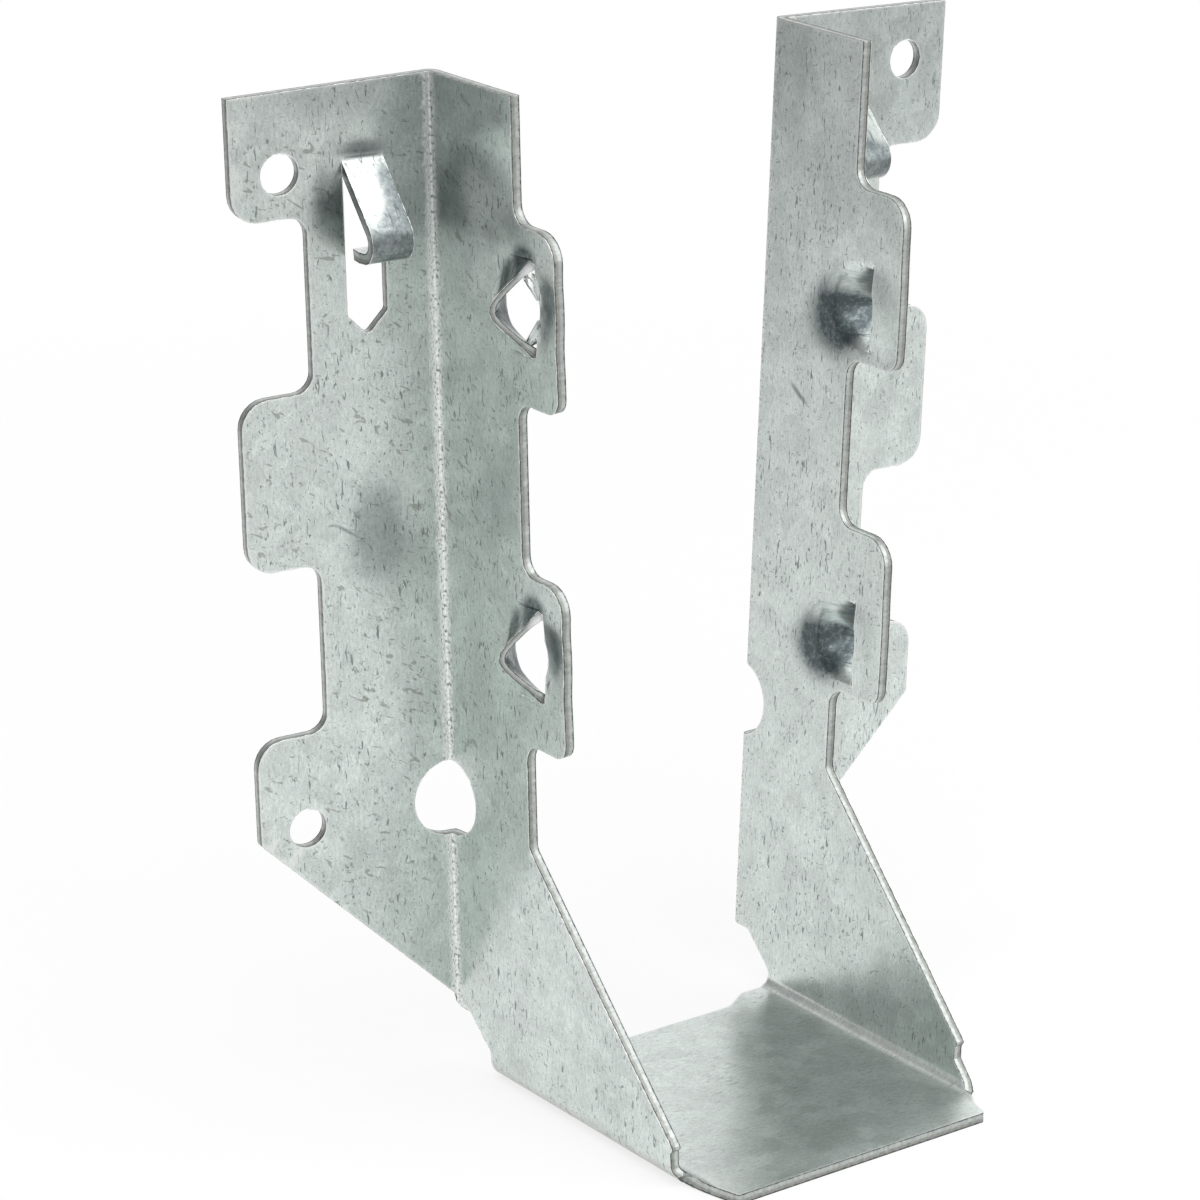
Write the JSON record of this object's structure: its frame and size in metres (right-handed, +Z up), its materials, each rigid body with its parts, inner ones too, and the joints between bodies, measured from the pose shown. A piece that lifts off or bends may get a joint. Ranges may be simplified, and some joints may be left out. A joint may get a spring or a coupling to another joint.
{
  "type": "joist hanger",
  "caption": "Face-mount joist hanger folded from galvanised sheet, with pressed nail domes, hooked positioning prongs and splayed nailing flanges.",
  "frame": {"origin": "centre of the seat's underside, 30 mm in front of the header face", "axes": "+Z up, along the side plates. +Y back, towards the header. +X to the right of someone who looks at the open front. The header face is the plane y = 0.030."},
  "size_m": [0.0978, 0.0533, 0.1189],
  "materials": {
    "zinc": "galvanised"
  },
  "bodies": {
    "root": {"joist_hanger": "zinc"}
  },
  "joints": []
}
